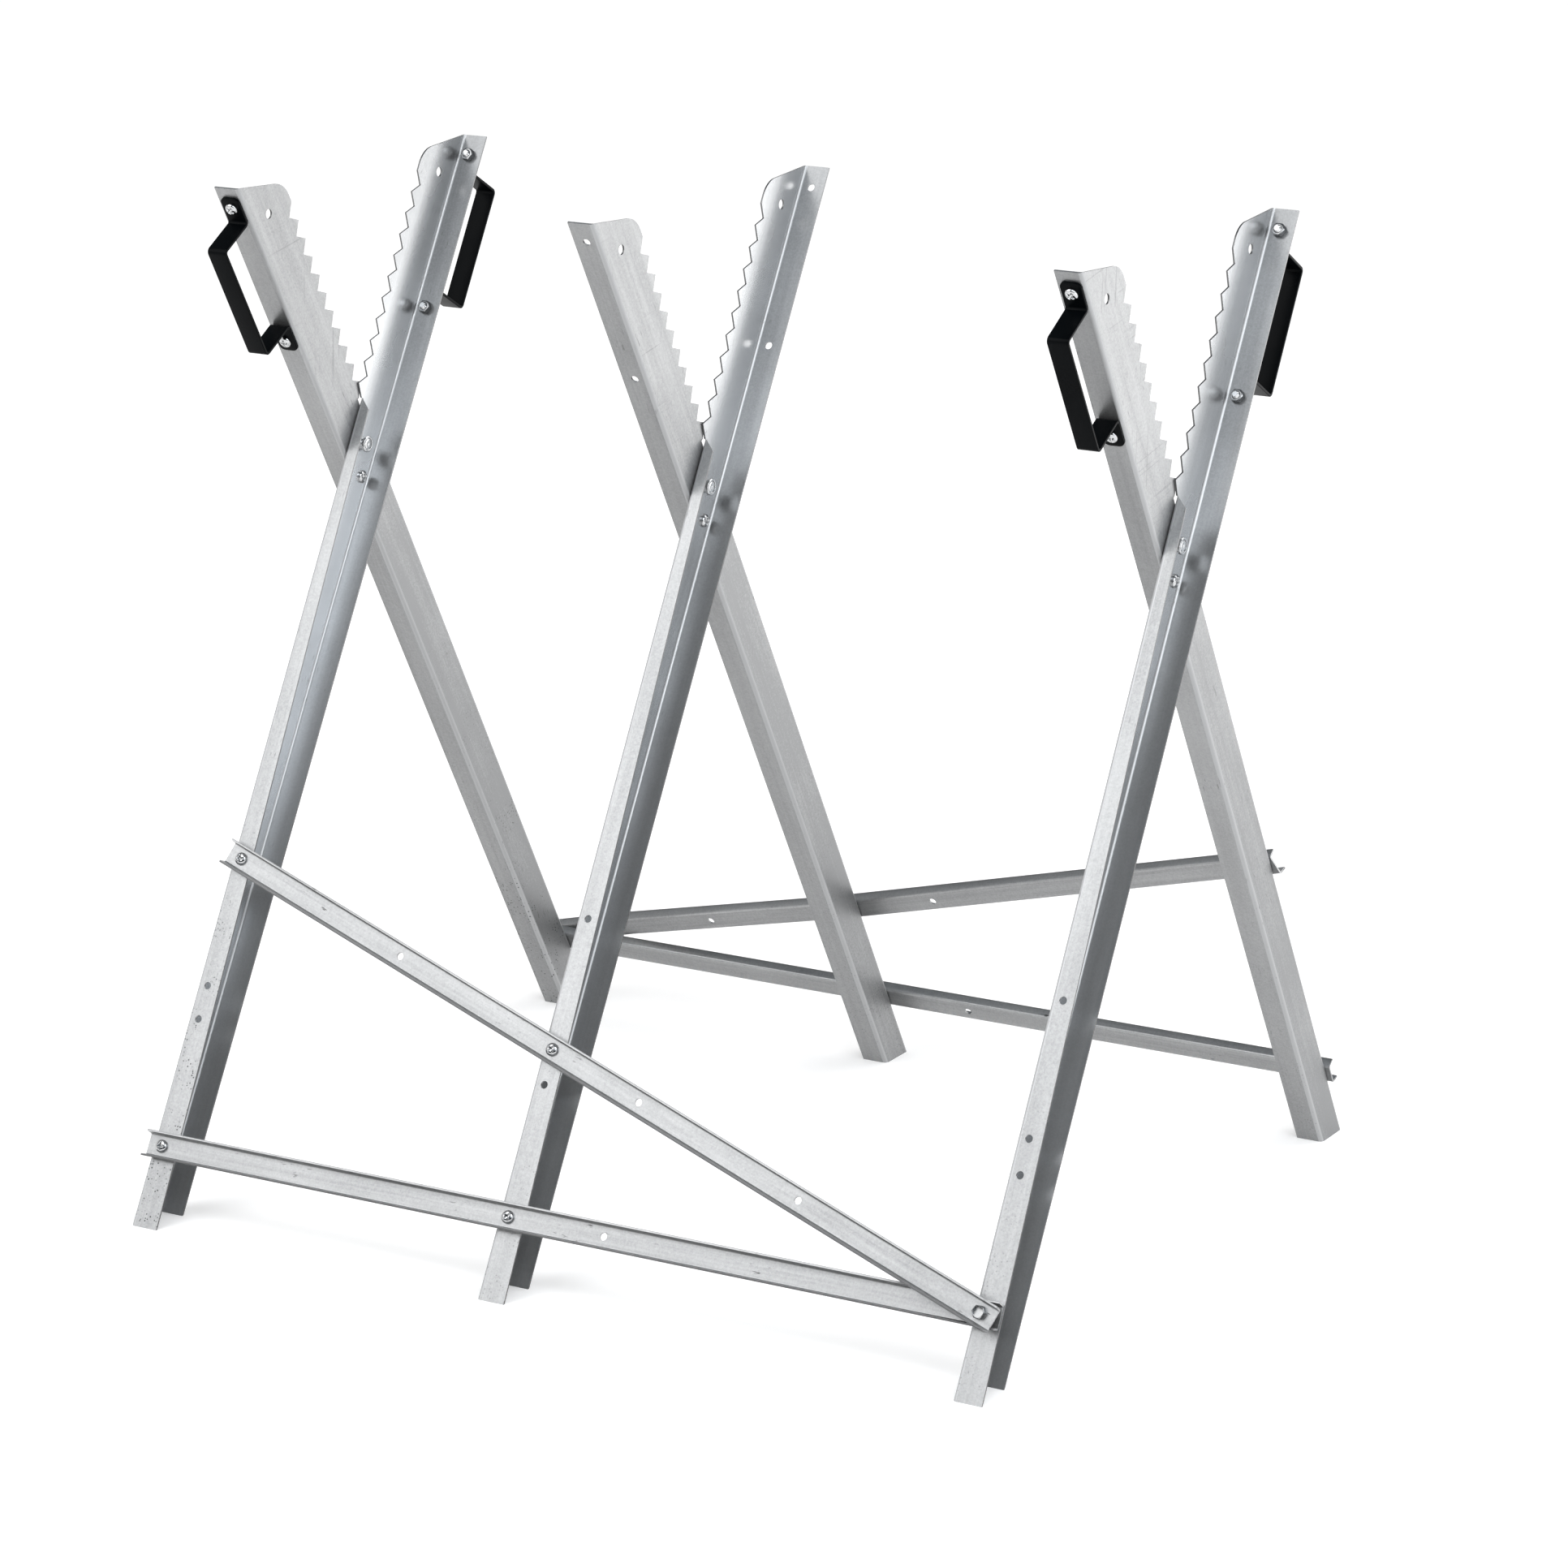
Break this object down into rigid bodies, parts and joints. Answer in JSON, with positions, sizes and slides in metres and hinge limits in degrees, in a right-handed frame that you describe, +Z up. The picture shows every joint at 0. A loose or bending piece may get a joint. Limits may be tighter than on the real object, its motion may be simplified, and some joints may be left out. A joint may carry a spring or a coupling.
{
  "type": "folding log saw horse",
  "caption": "Folding saw horse of bent galvanised sheet: toothed crossed legs form a row of V cradles for a log, tied by channel braces, with strap handles.",
  "frame": {"origin": "on the floor, midway between the outer trestles and below the row of pivots", "axes": "+Z up; X along the row of trestles and the log; -Y towards the front feet"},
  "size_m": [0.827, 0.7234, 0.8407],
  "materials": {
    "galvanised": "satin galvanised sheet",
    "black_coat": "satin black coat",
    "zinc_fastener": "bright zinc plate"
  },
  "bodies": {
    "front_frame": {"leg_front_left": "galvanised", "leg_front_middle": "galvanised", "leg_front_right": "galvanised", "brace_front_lower": "galvanised", "brace_front_diagonal": "galvanised", "handle_rear_left": "black_coat", "handle_rear_right": "black_coat", "pivot_rivet_left": "zinc_fastener", "pivot_rivet_middle": "zinc_fastener", "pivot_rivet_right": "zinc_fastener", "stop_screw_left": "zinc_fastener", "stop_screw_middle": "zinc_fastener", "stop_screw_right": "zinc_fastener", "brace_screws_front": "zinc_fastener", "stack_bolt_front": "zinc_fastener", "brace_nuts_front": "zinc_fastener", "handle_screws_rear": "zinc_fastener", "handle_nuts_rear": "zinc_fastener"},
    "rear_frame": {"leg_rear_left": "galvanised", "leg_rear_middle": "galvanised", "leg_rear_right": "galvanised", "brace_rear_lower": "galvanised", "brace_rear_diagonal": "galvanised", "handle_front_left": "black_coat", "handle_front_right": "black_coat", "brace_screws_rear": "zinc_fastener", "stack_bolt_rear": "zinc_fastener", "brace_nuts_rear": "zinc_fastener", "handle_screws_front": "zinc_fastener", "handle_nuts_front": "zinc_fastener"}
  },
  "joints": [
    {"name": "fold", "type": "hinge", "parent": "front_frame", "child": "rear_frame", "pos_m": [0, 0, 0.597], "axis": [-1, 0, 0], "range_deg": [0, 57]}
  ]
}
